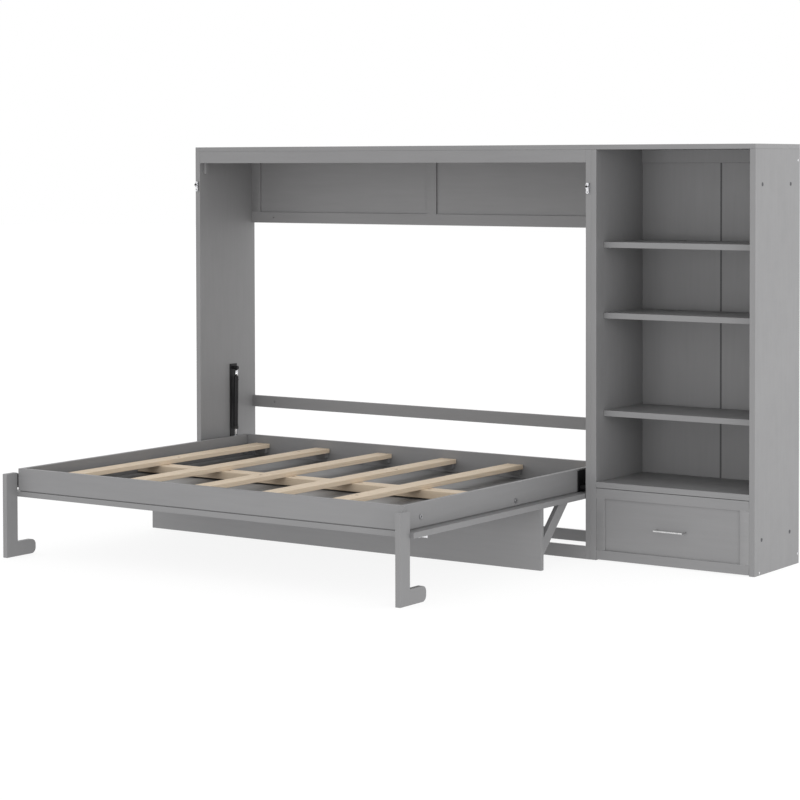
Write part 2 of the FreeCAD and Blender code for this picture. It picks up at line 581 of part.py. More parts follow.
def folding_shelf():
    """Board under the open bed, which stands out as a shelf when the bed is closed, and its braces."""
    rear = DESK_FRONT + DESK_BOARD
    save("folding_shelf_board", board(FACE_LEFT, FACE_RIGHT, DESK_FRONT, rear, 0, FACE_BOTTOM))
    reach = BRACE_WIDTH * math.sqrt(2)
    low = BRACE_FOOT
    far = rear + FACE_BOTTOM - low
    outline = ((rear, low), (far, FACE_BOTTOM), (far - reach, FACE_BOTTOM), (rear, low + reach))
    x0 = FACE_LEFT + BRACE_INSET
    save("folding_shelf_braces", pair(plate_x(x0, x0 + BRACE_BOARD, outline)))


def bed_pivot_brackets():
    """Steel plates on the rails' outer faces: a bore for the pivot pin, a stud for the gas spring."""
    outer = RAIL_LEFT - PLATE
    below, above = BRACKET_MARGINS
    plate = board(outer, RAIL_LEFT, PIVOT_Y - BRACKET_ARM, STRUT_FOOT[0] + BRACKET_ARM,
                  RAIL_BOTTOM + below, RAIL_TOP - above)
    plate = plate.cut(rod_x(PIVOT_RADIUS + PIVOT_CLEARANCE, outer - 1, RAIL_LEFT + 1, PIVOT_Y, PIVOT_Z))
    stud_start = BAY_LEFT + STRUT_PLANE + EYE_HALF_WIDTH + FOOT_STUD_GAP
    stud = rod_x(STUD_RADIUS, stud_start, outer, *STRUT_FOOT)
    save("bed_pivot_brackets", pair(plate.fuse(stud).removeSplitter()))


def latch_strikes():
    """Thin steel angles on the face panel, which the latch levers bear on when the bed is closed."""
    y = PIVOT_Y + PIVOT_Z - LATCH_Z
    inner, outer = STRIKE_SPAN
    x0, x1 = FACE_LEFT + inner, FACE_LEFT + outer
    front, rear = y - STRIKE_REACH[0], y + STRIKE_REACH[1]
    plate = board(x0, x1, front, rear, FACE_BOTTOM - STRIKE_STEEL, FACE_BOTTOM)
    lip = board(x0, x1, rear - STRIKE_STEEL, rear, FACE_BOTTOM - STRIKE_LIP, FACE_BOTTOM)
    save("latch_strikes", pair(plate.fuse(lip).removeSplitter()))


os.makedirs("parts", exist_ok=True)
cabinet_uprights()
outer_panels()
cabinet_rails()
rear_header()
stop_blocks()
mechanism_plates()
gas_springs()
latches()
tower()
adjustable_shelves()
drawer_front()
drawer_box()
drawer_runners()
drawer_handle()
face_panel()
bed_rails()
bed_slats()
bed_corner_brackets()
bed_bolts()
legs()
leg_brackets()
folding_shelf()
bed_pivot_brackets()
latch_strikes()
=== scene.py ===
import math

import bmesh
import bpy
from mathutils import Matrix, Vector


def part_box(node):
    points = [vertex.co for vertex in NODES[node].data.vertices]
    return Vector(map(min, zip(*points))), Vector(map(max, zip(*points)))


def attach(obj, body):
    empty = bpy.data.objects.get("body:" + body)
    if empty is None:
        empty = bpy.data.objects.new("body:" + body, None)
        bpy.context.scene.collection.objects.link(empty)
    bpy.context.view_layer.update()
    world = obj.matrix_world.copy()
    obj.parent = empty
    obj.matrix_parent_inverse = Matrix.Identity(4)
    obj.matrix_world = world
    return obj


# Looks for the side-opening wall bed: painted boards, pine slats, steel hardware, floor, light, camera.
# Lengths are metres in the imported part's own frame.

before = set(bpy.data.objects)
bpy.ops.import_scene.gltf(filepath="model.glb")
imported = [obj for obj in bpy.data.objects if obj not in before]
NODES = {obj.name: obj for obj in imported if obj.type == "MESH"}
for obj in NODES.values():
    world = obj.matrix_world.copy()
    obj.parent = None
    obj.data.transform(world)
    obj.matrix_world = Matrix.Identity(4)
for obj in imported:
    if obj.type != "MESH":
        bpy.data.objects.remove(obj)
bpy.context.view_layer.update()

# ---- finishes, as (red, green, blue) in linear light -----------------------------------------------
GREY_PAINT = (0.204, 0.203, 0.206)
GREY_PRIMER = (0.36, 0.36, 0.36)
PINE_LIGHT = (0.68, 0.57, 0.44)
PINE_DARK = (0.56, 0.435, 0.305)
# Dark brown of the knots in the slats, also used for the painted slat shadows on the centre beam.
PINE_KNOT_AND_SHADOW = (0.16, 0.085, 0.04)
BLACK_COAT = (0.009, 0.009, 0.010)
BARE_STEEL = (0.11, 0.11, 0.112)
CHROME = (0.80, 0.80, 0.82)
NICKEL = (0.60, 0.60, 0.60)
ZINC = (0.44, 0.445, 0.46)
DARK_ZINC = (0.34, 0.34, 0.35)
CAP_PLASTIC = (0.045, 0.045, 0.05)
# Dark plastic of the strip in the tower back's seam, which stands for the shade in the gap between its
# boards: painted shade.
SEAM_SHADE_PLASTIC = (0.065, 0.065, 0.067)
# Black of the rubber caps and tips, also used as painted shade inside the screw slots and bolt sockets.
RUBBER_AND_HOLLOW_SHADE = (0.018, 0.018, 0.018)
FLOOR = (0.14, 0.14, 0.14)
FLOOR_GLOW = 0.87

# ---- rounding of the sharp edges -------------------------------------------------------------------
BOARD_ROUND = 0.0012
PINE_ROUND = 0.0022
BLACK_ROUND = 0.0005
BRIGHT_ROUND = 0.0006
ZINC_ROUND = 0.0004
CAP_ROUND = 0.0004
SEAM_SHADE_ROUND = 0.0003
WELD_GAP = 0.00002
FLAT_ANGLE = 0.4                 # degrees between faces that count as one flat face

# ---- thickness of the sheet steel that the screws hold ---------------------------------------------
PLATE_STEEL = 0.004
ANGLE_STEEL = 0.003
LATCH_STEEL = 0.002

# ---- screw heads, as (radius, height) --------------------------------------------------------------
MECHANISM_SCREW = (0.0042, 0.0022)
BRACKET_SCREW = (0.0040, 0.0020)
ANGLE_SCREW = (0.0038, 0.0020)
LATCH_SCREW = (0.0034, 0.0016)
OUTER_SCREW = (0.0048, 0.0018)
SLAT_SCREW = (0.0036, 0.0016)

# ---- lights, as (name, place, target, size, watts) -------------------------------------------------
LIGHTS = (("side_right", (3.6, 1.1, 1.5), (1.43, 0.62, 0.9), (1.6, 2.4), 22),
          ("fill_right", (8.5, -3.0, 1.6), (0.0, 0.0, 0.7), (3.0, 2.6), 134),
          ("low_front", (0.0, -10.5, 0.85), (0.0, 0.0, 0.7), (6.0, 1.5), 225))
SKY_STRENGTH = 1.0
FLOOR_REACH = 40.0
FLOOR_DROP = 0.0005

# ---- camera ----------------------------------------------------------------------------------------
CAMERA_PLACE = (5.594, -7.921, 1.635)
CAMERA_YAW = 34.07
CAMERA_PITCH = 1.84
CAMERA_ROLL = 0.09
CAMERA_LENS = 105.93
CAMERA_SHIFT = (-0.05, -0.20)


# ---- node helpers ----------------------------------------------------------------------------------
class Nodes:
    """Short calls for building one material's node tree."""

    def __init__(self, name):
        self.material = bpy.data.materials.new(name)
        self.material.use_nodes = True
        self.tree = self.material.node_tree
        self.tree.nodes.clear()
        output = self.tree.nodes.new("ShaderNodeOutputMaterial")
        self.shader = self.tree.nodes.new("ShaderNodeBsdfPrincipled")
        self.link(self.shader.outputs["BSDF"], output.inputs["Surface"])

    def link(self, source, target):
        self.tree.links.new(source, target)

    def put(self, value, socket):
        if isinstance(value, bpy.types.NodeSocket):
            self.link(value, socket)
        else:
            socket.default_value = value

    def add(self, kind, settings=None, inputs=None):
        node = self.tree.nodes.new(kind)
        for key, value in (settings or {}).items():
            setattr(node, key, value)
        for key, value in (inputs or {}).items():
            self.put(value, node.inputs[key])
        return node

    def place(self, offset=(0, 0, 0), scale=(1, 1, 1), turn=(0, 0, 0)):
        """Object coordinates, moved, turned and scaled."""
        coordinates = self.add("ShaderNodeTexCoord").outputs["Object"]
        mapping = self.add("ShaderNodeMapping", {"vector_type": "POINT"},
                           {"Vector": coordinates, "Location": offset, "Rotation": turn, "Scale": scale})
        return mapping.outputs["Vector"]

    def noise(self, vector, scale, detail=2.0, roughness=0.5):
        node = self.add("ShaderNodeTexNoise", {"noise_dimensions": "3D"},
                        {"Vector": vector, "Scale": scale, "Detail": detail, "Roughness": roughness})
        return node.outputs["Fac"]

    def math(self, operation, a, b=0.0, clamp=False):
        node = self.add("ShaderNodeMath", {"operation": operation, "use_clamp": clamp})
        self.put(a, node.inputs[0])
        self.put(b, node.inputs[1])
        return node.outputs[0]

    def remap(self, value, low, high, to_low, to_high, smooth=False):
        kind = "SMOOTHSTEP" if smooth else "LINEAR"
        inputs = {"Value": value, "From Min": low, "From Max": high, "To Min": to_low, "To Max": to_high}
        node = self.add("ShaderNodeMapRange", {"interpolation_type": kind}, inputs)
        return node.outputs["Result"]

    def mix(self, factor, a, b, blend="MIX"):
        node = self.add("ShaderNodeMix", {"data_type": "RGBA", "blend_type": blend})
        self.put(factor, node.inputs["Factor"])
        self.put(a if isinstance(a, bpy.types.NodeSocket) else (*a, 1.0), node.inputs[6])
        self.put(b if isinstance(b, bpy.types.NodeSocket) else (*b, 1.0), node.inputs[7])
        return node.outputs[2]

    def grey(self, value):
        """A number as a grey colour."""
        node = self.add("ShaderNodeCombineColor", {}, {"Red": value, "Green": value, "Blue": value})
        return node.outputs["Color"]

    def edge(self, radius):
        """1 on sharp edges and 0 on flat faces, from the angle between true and rounded normals."""
        soft = self.add("ShaderNodeBevel", {"samples": 4}, {"Radius": radius}).outputs["Normal"]
        true = self.add("ShaderNodeNewGeometry").outputs["True Normal"]
        dot = self.add("ShaderNodeVectorMath", {"operation": "DOT_PRODUCT"}, {0: soft, 1: true})
        return self.remap(dot.outputs["Value"], 0.99, 0.80, 0.0, 1.0)

    def bump(self, height, strength, distance, under=None):
        node = self.add("ShaderNodeBump", {}, {"Height": height, "Strength": strength, "Distance": distance})
        if under is not None:
            self.link(under, node.inputs["Normal"])
        return node.outputs["Normal"]

    def finish(self, colour, roughness, normal, metallic=0.0, specular=0.5):
        self.put(colour, self.shader.inputs["Base Color"])
        self.put(roughness, self.shader.inputs["Roughness"])
        self.link(normal, self.shader.inputs["Normal"])
        self.shader.inputs["Metallic"].default_value = metallic
        self.shader.inputs["Specular IOR Level"].default_value = specular
        return self.material


# ---- materials -------------------------------------------------------------------------------------
def painted_board(axis, seed):
    """Satin grey paint on smooth board: faint streaks along the board, fine orange peel, worn edges."""
    n = Nodes("grey_paint_%s_%02d" % (axis, seed))
    stretch = [9.0, 9.0, 9.0]
    stretch["xyz".index(axis)] = 0.7
    offset = (seed * 1.37, seed * 0.91, seed * 2.13)
    where = n.place(offset=offset)
    streaks = n.noise(n.place(offset=offset, scale=stretch), 6.0, 4.0, 0.6)
    clouds = n.noise(where, 2.2, 3.0, 0.5)
    speck = n.noise(where, 420.0, 2.0, 0.6)
    shade = n.remap(streaks, 0.25, 0.75, 0.965, 1.025)
    shade = n.math("ADD", shade, n.remap(clouds, 0.3, 0.7, -0.028, 0.028))
    shade = n.math("ADD", shade, n.remap(speck, 0.3, 0.7, -0.012, 0.012))
    paint = n.mix(1.0, GREY_PAINT, n.grey(shade), "MULTIPLY")
    chips = n.remap(n.noise(where, 55.0, 4.0, 0.7), 0.54, 0.66, 0.0, 1.0)
    worn = n.math("MULTIPLY", n.edge(0.0016), n.remap(chips, 0.0, 1.0, 0.5, 1.0), clamp=True)
    colour = n.mix(n.math("MULTIPLY", worn, 0.55), paint, GREY_PRIMER)
    peel = n.noise(where, 640.0, 3.0, 0.55)
    normal = n.bump(peel, 0.12, 0.0004)
    normal = n.bump(streaks, 0.05, 0.0006, normal)
    roughness = n.remap(n.noise(where, 14.0, 3.0, 0.6), 0.3, 0.7, 0.40, 0.50)
    return n.finish(colour, roughness, normal, specular=0.42)


def pine(axis, seed, knots_and_shadow_spots=()):
    """Planed pine with the growth rings of a tree that lies along the board, fibres, pores and dark round
    spots: real knots on the slats, and painted shadows of the slats on the centre beam.

    Each spot is (place along the board, offset across it, radius).
    """
    n = Nodes("pine_%s_%02d" % (axis, seed))
    lengthwise = "xyz".index(axis)
    across = [8.0, 8.0, 8.0]
    across[lengthwise] = 0.55
    where = n.place()
    drift = n.noise(n.place(offset=(seed * 0.77, seed * 1.9, seed * 0.31), scale=across), 1.6, 3.0, 0.55)
    pith = [0.0, 0.0, 0.0]
    side = 1 - lengthwise
    pith[side] = 0.031 * math.sin(seed * 2.3)
    pith[2] = 0.055 + 0.02 * math.cos(seed * 1.7)
    middle = Vector(PIECE_MIDDLE[seed])
    offset = tuple(-middle[i] - pith[i] for i in range(3))
    tilt = [0.0, 0.0, 0.0]
    tilt[side] = math.radians(1.1 + 0.5 * math.sin(seed * 1.3))
    local = n.add("ShaderNodeMapping", {"vector_type": "POINT"},
                  {"Vector": where, "Location": offset, "Rotation": tuple(tilt)}).outputs["Vector"]
    split = n.add("ShaderNodeSeparateXYZ", {}, {"Vector": local})
    a = split.outputs[side]
    b = split.outputs[2]
    radius = n.math("SQRT", n.math("ADD", n.math("MULTIPLY", a, a), n.math("MULTIPLY", b, b)))
    radius = n.math("ADD", radius, n.remap(drift, 0.2, 0.8, -0.011, 0.011))
    knot_and_shadow_mask = None
    # Each spot darkens the wood and bends its rings; the beam's spots are painted shadow, the slats' spots
    # are knots.
    for place in knots_and_shadow_spots:
        spot = [middle[0], middle[1], middle[2] + 0.01]
        spot[lengthwise] = place[0]
        spot[side] = middle[side] + place[1]
        away = n.add("ShaderNodeVectorMath", {"operation": "DISTANCE"}, {0: where, 1: tuple(spot)})
        wobble = n.remap(n.noise(where, 90.0, 2.0), 0.3, 0.7, -0.003, 0.003)
        gap = n.math("ADD", away.outputs["Value"], wobble)
        here = n.remap(gap, 0.006 + place[2], place[2], 0.0, 1.0, smooth=True)
        push = n.remap(gap, 0.05, 0.0, 0.0, 0.012, smooth=True)
        radius = n.math("ADD", radius, push)
        knot_and_shadow_mask = here if knot_and_shadow_mask is None else n.math("MAXIMUM", knot_and_shadow_mask, here)
    ring = n.math("FRACT", n.math("MULTIPLY", radius, 190.0))
    late = n.remap(ring, 0.35, 0.97, 0.0, 1.0, smooth=True)
    fibre = n.noise(n.place(offset=(seed, seed, seed), scale=across), 120.0, 2.0, 0.65)
    blotch = n.noise(n.place(offset=(seed * 3.1, 0, 0), scale=across), 3.0, 3.0, 0.5)
    tone = n.math("ADD", n.math("MULTIPLY", late, 0.62), n.remap(fibre, 0.3, 0.7, -0.14, 0.2))
    tone = n.math("ADD", tone, n.remap(blotch, 0.3, 0.7, -0.12, 0.16), clamp=True)
    colour = n.mix(tone, PINE_LIGHT, PINE_DARK)
    if knot_and_shadow_mask is not None:
        colour = n.mix(n.math("MULTIPLY", knot_and_shadow_mask, 0.85), colour, PINE_KNOT_AND_SHADOW)
    height = n.math("ADD", n.math("MULTIPLY", late, 0.5), n.math("MULTIPLY", fibre, 0.7))
    normal = n.bump(height, 0.25, 0.0006)
    roughness = n.remap(tone, 0.0, 1.0, 0.66, 0.54)
    return n.finish(colour, roughness, normal, specular=0.3)


def black_coat():
    """Semi-gloss powder coat on steel, thin on its edges."""
    n = Nodes("black_coat")
    where = n.place()
    mottle = n.noise(where, 60.0, 4.0, 0.6)
    tint = n.mix(1.0, BLACK_COAT, n.grey(n.remap(mottle, 0.3, 0.7, 0.8, 1.35)), "MULTIPLY")
    worn = n.math("MULTIPLY", n.edge(0.0008), n.remap(n.noise(where, 180.0, 3.0, 0.7), 0.45, 0.65, 0.0, 0.6))
    colour = n.mix(worn, tint, BARE_STEEL)
    normal = n.bump(n.noise(where, 1500.0, 3.0, 0.6), 0.25, 0.0003)
    roughness = n.remap(mottle, 0.3, 0.7, 0.38, 0.52)
    return n.finish(colour, roughness, normal, specular=0.24)


def plated(name, tint, low, high, line_axis, strength):
    """Plated steel: fine lines along one axis, fingerprints in the gloss, a darker film in places."""
    n = Nodes(name)
    where = n.place()
    stretch = [14.0, 14.0, 14.0]
    stretch["xyz".index(line_axis)] = 0.4
    lines = n.noise(n.place(scale=stretch), 120.0, 3.0, 0.7)
    film = n.noise(where, 45.0, 4.0, 0.6)
    colour = n.mix(1.0, tint, n.grey(n.remap(film, 0.3, 0.7, 0.88, 1.05)), "MULTIPLY")
    normal = n.bump(lines, strength, 0.0002)
    gloss = n.remap(film, 0.3, 0.7, low, high)
    roughness = n.math("ADD", gloss, n.remap(lines, 0.3, 0.7, -0.03, 0.05), clamp=True)
    return n.finish(colour, roughness, normal, metallic=1.0)


def moulded(name, tint, gloss):
    """Moulded plastic or rubber with a fine grain."""
    n = Nodes(name)
    where = n.place()
    grain = n.noise(where, 1800.0, 3.0, 0.6)
    mottle = n.noise(where, 140.0, 3.0, 0.6)
    colour = n.mix(1.0, tint, n.grey(n.remap(mottle, 0.3, 0.7, 0.85, 1.2)), "MULTIPLY")
    roughness = n.remap(grain, 0.3, 0.7, gloss, gloss + 0.12)
    return n.finish(colour, roughness, n.bump(grain, 0.3, 0.0002), specular=0.4)


def floor_finish():
    """Pale floor, faintly clouded, with a glow of its own so that the studio stays white."""
    n = Nodes("pale_floor")
    where = n.place()
    cloud = n.noise(where, 0.8, 3.0, 0.5)
    colour = n.mix(1.0, FLOOR, n.grey(n.remap(cloud, 0.3, 0.7, 0.99, 1.01)), "MULTIPLY")
    n.shader.inputs["Emission Color"].default_value = (1.0, 1.0, 1.0, 1.0)
    n.shader.inputs["Emission Strength"].default_value = FLOOR_GLOW
    return n.finish(colour, 0.85, n.bump(n.noise(where, 300.0, 2.0), 0.02, 0.0003), specular=0.1)


# ---- dressing the CAD nodes ------------------------------------------------------------------------
def middle_of(name):
    """Middle of a CAD node's box."""
    low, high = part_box(name)
    return (low + high) / 2


def long_axis(name):
    """Name of the axis along which a CAD node is longest."""
    low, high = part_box(name)
    size = high - low
    return "xyz"[max(range(3), key=lambda i: size[i])]


def round_edges(node, radius, segments=3, angle=32.0):
    """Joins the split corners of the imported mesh, rounds its sharp edges and evens out its flat faces.

    Where solids of one node touch, the weld joins them too, and some of their faces shade unevenly there.
    """
    weld = node.modifiers.new("weld", "WELD")
    weld.merge_threshold = WELD_GAP
    flat = node.modifiers.new("flat", "DECIMATE")
    flat.decimate_type = "DISSOLVE"
    flat.angle_limit = math.radians(FLAT_ANGLE)
    bevel = node.modifiers.new("round", "BEVEL")
    bevel.width = radius
    bevel.segments = segments
    bevel.limit_method = "ANGLE"
    bevel.angle_limit = math.radians(angle)
    bevel.use_clamp_overlap = True
    smooth = node.modifiers.new("smooth", "NODES")
    smooth.node_group = SMOOTH_GROUP
    weighted = node.modifiers.new("weighted", "WEIGHTED_NORMAL")
    weighted.mode = "FACE_AREA"
    weighted.weight = 100
    return node


def smooth_group():
    """Geometry nodes that shade every face smooth, so that the rounded edges catch light."""
    group = bpy.data.node_groups.new("shade_smooth", "GeometryNodeTree")
    group.interface.new_socket("Geometry", in_out="INPUT", socket_type="NodeSocketGeometry")
    group.interface.new_socket("Geometry", in_out="OUTPUT", socket_type="NodeSocketGeometry")
    source = group.nodes.new("NodeGroupInput")
    smooth = group.nodes.new("GeometryNodeSetShadeSmooth")
    target = group.nodes.new("NodeGroupOutput")
    group.links.new(source.outputs[0], smooth.inputs["Geometry"])
    group.links.new(smooth.outputs[0], target.inputs[0])
    return group


def dress(name, material):
    """Gives a CAD node its one material."""
    slots = NODES[name].data.materials
    slots.clear()
    slots.append(material)


SMOOTH_GROUP = smooth_group()
SLATS = ["slat_%d" % number for number in range(1, 7)]
PINE_NODES = ["bed_centre_beam", *SLATS]
PIECE_MIDDLE = {seed: middle_of(name) for seed, name in enumerate(PINE_NODES)}
BLACK_NODES = ["leg_brackets", "mechanism_plates", "bed_pivot_brackets", "strut_cylinder_left",
               "strut_cylinder_right"]
CHROME_NODES = ["strut_rod_left", "strut_rod_right", "latch_lever_left", "latch_lever_right",
                "latch_strikes"]
NICKEL_NODES = ["drawer_handle"]
ZINC_NODES = ["shelf_pins", "runner_outer_members", "runner_middle_members", "runner_inner_members",
              "bed_corner_brackets"]
BOLT_NODES = ["bed_bolts", "latch_plates"]
CAP_NODES = ["side_bolt_caps"]
# The dark strip in the seam of the tower's back stands for the shade in the gap between its boards: painted
# shade.
SEAM_SHADE_NODES = ["tower_back_strip"]
METAL_NODES = BLACK_NODES + CHROME_NODES + NICKEL_NODES + ZINC_NODES + BOLT_NODES
BOARD_NODES = sorted(set(NODES) - set(PINE_NODES + METAL_NODES + CAP_NODES + SEAM_SHADE_NODES))

black = black_coat()
chrome = plated("bright_chrome", CHROME, 0.08, 0.18, "x", 0.04)
nickel = plated("brushed_nickel", NICKEL, 0.18, 0.28, "x", 0.08)
zinc = plated("zinc_plate", ZINC, 0.30, 0.44, "z", 0.10)
dark_zinc = plated("dark_zinc", DARK_ZINC, 0.34, 0.48, "z", 0.10)
cap = moulded("cap_plastic", CAP_PLASTIC, 0.45)
seam_shade_strip = moulded("seam_shade_plastic", SEAM_SHADE_PLASTIC, 0.5)
# Black rubber for the spring end caps and latch tips; the same black also serves as painted shade in the
# screw slots and bolt sockets.
rubber_and_hollow_shade = moulded("black_rubber_and_hollow_shade", RUBBER_AND_HOLLOW_SHADE, 0.62)

for seed, name in enumerate(BOARD_NODES):
    dress(name, painted_board(long_axis(name), seed))
    round_edges(NODES[name], BOARD_ROUND)
# Painted shadow: one dark spot on the beam just beside each slat, where the slat's shadow falls, drawn like
# a knot.
beam_slat_shadow_spots = [(middle_of(name)[0] + 0.052, 0.004, 0.007) for name in SLATS]
slat_low, slat_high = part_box("slat_1")
slat_run = slat_high[1] - slat_low[1]
for seed, name in enumerate(PINE_NODES):
    axis = long_axis(name)
    knots_and_shadow_spots = beam_slat_shadow_spots if name == "bed_centre_beam" else ()
    if name in SLATS:
        share = (0.31 * seed + 0.17) % 0.8 + 0.1
        knots_and_shadow_spots = [(slat_low[1] + share * slat_run, 0.018 * math.sin(seed * 2.0), 0.004)]
    dress(name, pine(axis, seed, knots_and_shadow_spots))
    round_edges(NODES[name], PINE_ROUND)
for names, material, radius in ((BLACK_NODES, black, BLACK_ROUND), (CHROME_NODES, chrome, BRIGHT_ROUND),
                                (NICKEL_NODES, nickel, BRIGHT_ROUND), (ZINC_NODES, zinc, ZINC_ROUND),
                                (BOLT_NODES, dark_zinc, ZINC_ROUND), (CAP_NODES, cap, CAP_ROUND),
                                (SEAM_SHADE_NODES, seam_shade_strip, SEAM_SHADE_ROUND)):
    for name in names:
        dress(name, material)
        round_edges(NODES[name], radius, segments=2)


# ---- small pieces ----------------------------------------------------------------------------------
def mesh_piece(name, mesh_maker, material, body, smooth=True):
    """A new piece from a function that fills a bmesh, riding on a CAD body."""
    mesh = bpy.data.meshes.new(name)
    work = bmesh.new()
    mesh_maker(work)
    bmesh.ops.recalc_face_normals(work, faces=work.faces)
    work.to_mesh(mesh)
    work.free()
    for polygon in mesh.polygons:
        polygon.use_smooth = smooth
    mesh.materials.append(material)
    piece = bpy.data.objects.new(name, mesh)
    bpy.context.scene.collection.objects.link(piece)
    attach(piece, body)
    return piece


def turned(work, profile, place, direction, sides=28):
    """A closed turned shape: the profile is a list of (distance along, radius) from end to end."""
    axis = Vector(direction).normalized()
    turn = Vector((0, 0, 1)).rotation_difference(axis).to_matrix().to_4x4()
    move = Matrix.Translation(Vector(place)) @ turn
    rings = []
    for along, radius in profile:
        if radius <= 0:
            rings.append([work.verts.new(move @ Vector((0, 0, along)))])
            continue
        ring = []
        for i in range(sides):
            angle = 2 * math.pi * i / sides
            corner = Vector((radius * math.cos(angle), radius * math.sin(angle), along))
            ring.append(work.verts.new(move @ corner))
        rings.append(ring)
    for first, second in zip(rings, rings[1:]):
        for i in range(sides):
            j = (i + 1) % sides
            if len(first) == 1:
                work.faces.new((first[0], second[j], second[i]))
            elif len(second) == 1:
                work.faces.new((first[i], first[j], second[0]))
            else:
                work.faces.new((first[i], first[j], second[j], second[i]))


def cross_slot_shade(work, place, direction, size, depth, spin):
    """The two crossed slots of a screw, as thin black bars sunk in its head: painted shade of the hollow
    slots.
    """
    axis = Vector(direction).normalized()
    turn = Vector((0, 0, 1)).rotation_difference(axis).to_matrix().to_4x4()
    for quarter in (0, 1):
        around = Matrix.Rotation(spin + quarter * math.pi / 2, 4, "Z")
        move = Matrix.Translation(Vector(place)) @ turn @ around
        box = bmesh.ops.create_cube(work, size=1.0)["verts"]
        for vertex in box:
            x, y, z = vertex.co
            vertex.co = move @ Vector((x * size * 2, y * size * 0.32, z * depth))


def pan_head(radius, height):
    """Profile of a low domed screw head that starts at the surface."""
    steps = 5
    points = [(-0.0002, 0.0), (-0.0002, radius), (height * 0.35, radius)]
    for i in range(1, steps + 1):
        angle = math.pi / 2 * i / steps
        points.append((height * (0.35 + 0.65 * math.sin(angle)), max(radius * math.cos(angle), 0.0)))
    return points


def screws(name, places, direction, head, material, body):
    """One piece holding the heads of several screws, and one with black bars that paint the shade in their
    cross recesses.
    """
    radius, height = head

    def heads(work):
        for place in places:
            turned(work, pan_head(radius, height), place, direction, 20)

    def slots(work):
        for i, place in enumerate(places):
            top = Vector(place) + Vector(direction) * height * 0.86
            cross_slot_shade(work, top, direction, radius * 0.46, height * 0.34, 0.4 + 1.1 * i)

    mesh_piece(name, heads, material, body)
    # Painted shade: black bars stand for the shaded hollows of the slots.
    mesh_piece(name + "_recess", slots, rubber_and_hollow_shade, body, smooth=False)


CENTRE_X = middle_of("bed_face_panel")[0]


def both_sides(place):
    """A place and its twin on the other side of the bed's bay."""
    x, y, z = place
    return [(x, y, z), (2 * CENTRE_X - x, y, z)]


def mechanism_screws():
    """Black screws through each mechanism plate: three up its rear edge, two along its foot."""
    low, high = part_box("mechanism_plates")
    rear = high[1] - 0.011
    rear_heights = (low[2] + 0.020, 0.48, high[2] - 0.016)
    foot = low[2] + 0.036
    foot_places = (low[1] + 0.050, low[1] + 0.110)
    spots = [(rear, z) for z in rear_heights] + [(y, foot) for y in foot_places]
    for side, sign in (("left", 1), ("right", -1)):
        inner = low[0] + PLATE_STEEL if side == "left" else 2 * CENTRE_X - low[0] - PLATE_STEEL
        places = [(inner, y, z) for y, z in spots]
        screws("mechanism_screws_" + side, places, (sign, 0, 0), MECHANISM_SCREW, black, "cabinet")


def bracket_screws():
    """Two rows of black screws through each pivot bracket into the bed's side rail."""
    low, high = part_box("bed_pivot_brackets")
    first = 0.085
    step = 0.036
    margin = 0.012
    for side, sign in (("left", -1), ("right", 1)):
        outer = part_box("bed_left_rail")[0][0] - PLATE_STEEL
        outer = outer if side == "left" else 2 * CENTRE_X - outer
        places = [(outer, low[1] + first + step * i, z)
                  for z in (low[2] + margin, high[2] - margin) for i in range(3)]
        screws("bracket_screws_" + side, places, (sign, 0, 0), BRACKET_SCREW, black, "bed")


def corner_screws():
    """One screw in each leg of the four corner angles inside the bed's rails."""
    low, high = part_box("bed_corner_brackets")
    step = 0.026
    height = (low[2] + high[2]) / 2
    for side, sign in (("left", 1), ("right", -1)):
        face = low[0] + ANGLE_STEEL if side == "left" else high[0] - ANGLE_STEEL
        places = [(face, low[1] + step, height), (face, high[1] - step, height)]
        screws("corner_screws_" + side, places, (sign, 0, 0), ANGLE_SCREW, zinc, "bed")
    for end, y, sign in (("front", low[1] + ANGLE_STEEL, 1), ("rear", high[1] - ANGLE_STEEL, -1)):
        places = [(low[0] + step, y, height), (high[0] - step, y, height)]
        screws("corner_screws_" + end, places, (0, sign, 0), ANGLE_SCREW, zinc, "bed")


def latch_screws():
    """One bright screw at the top of each latch plate."""
    low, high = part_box("latch_plates")
    from_side = 0.009
    from_top = 0.006
    left_x = low[0] + from_side
    for side, x in (("left", left_x), ("right", 2 * CENTRE_X - left_x)):
        places = [(x, high[1] - LATCH_STEEL, high[2] - from_top)]
        screws("latch_screw_" + side, places, (0, -1, 0), LATCH_SCREW, chrome, "cabinet")


def outer_screws():
    """Bright screw heads near the edges of the two outer side panels."""
    for side, panel, sign in (("left", "left_side_panel", -1), ("right", "tower_right_side_panel", 1)):
        low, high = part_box(panel)
        face = low[0] if side == "left" else high[0]
        places = [(face, low[1] + 0.043, low[2] + 0.010), (face, high[1] - 0.014, low[2] + 0.041),
                  (face, high[1] - 0.018, high[2] - 0.045)]
        screws("outer_screws_" + side, places, (sign, 0, 0), OUTER_SCREW, chrome, "cabinet")


def slat_screws():
    """Two countersunk screws at each end of each slat."""
    sunk = 0.0012
    from_end = 0.011
    half_apart = 0.017
    places = []
    for name in SLATS:
        low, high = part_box(name)
        top = high[2] - sunk
        x = (low[0] + high[0]) / 2
        for y in (low[1] + from_end, high[1] - from_end):
            places += [(x - half_apart, y, top), (x + half_apart, y, top)]
    screws("slat_screws", places, (0, 0, 1), SLAT_SCREW, zinc, "bed")


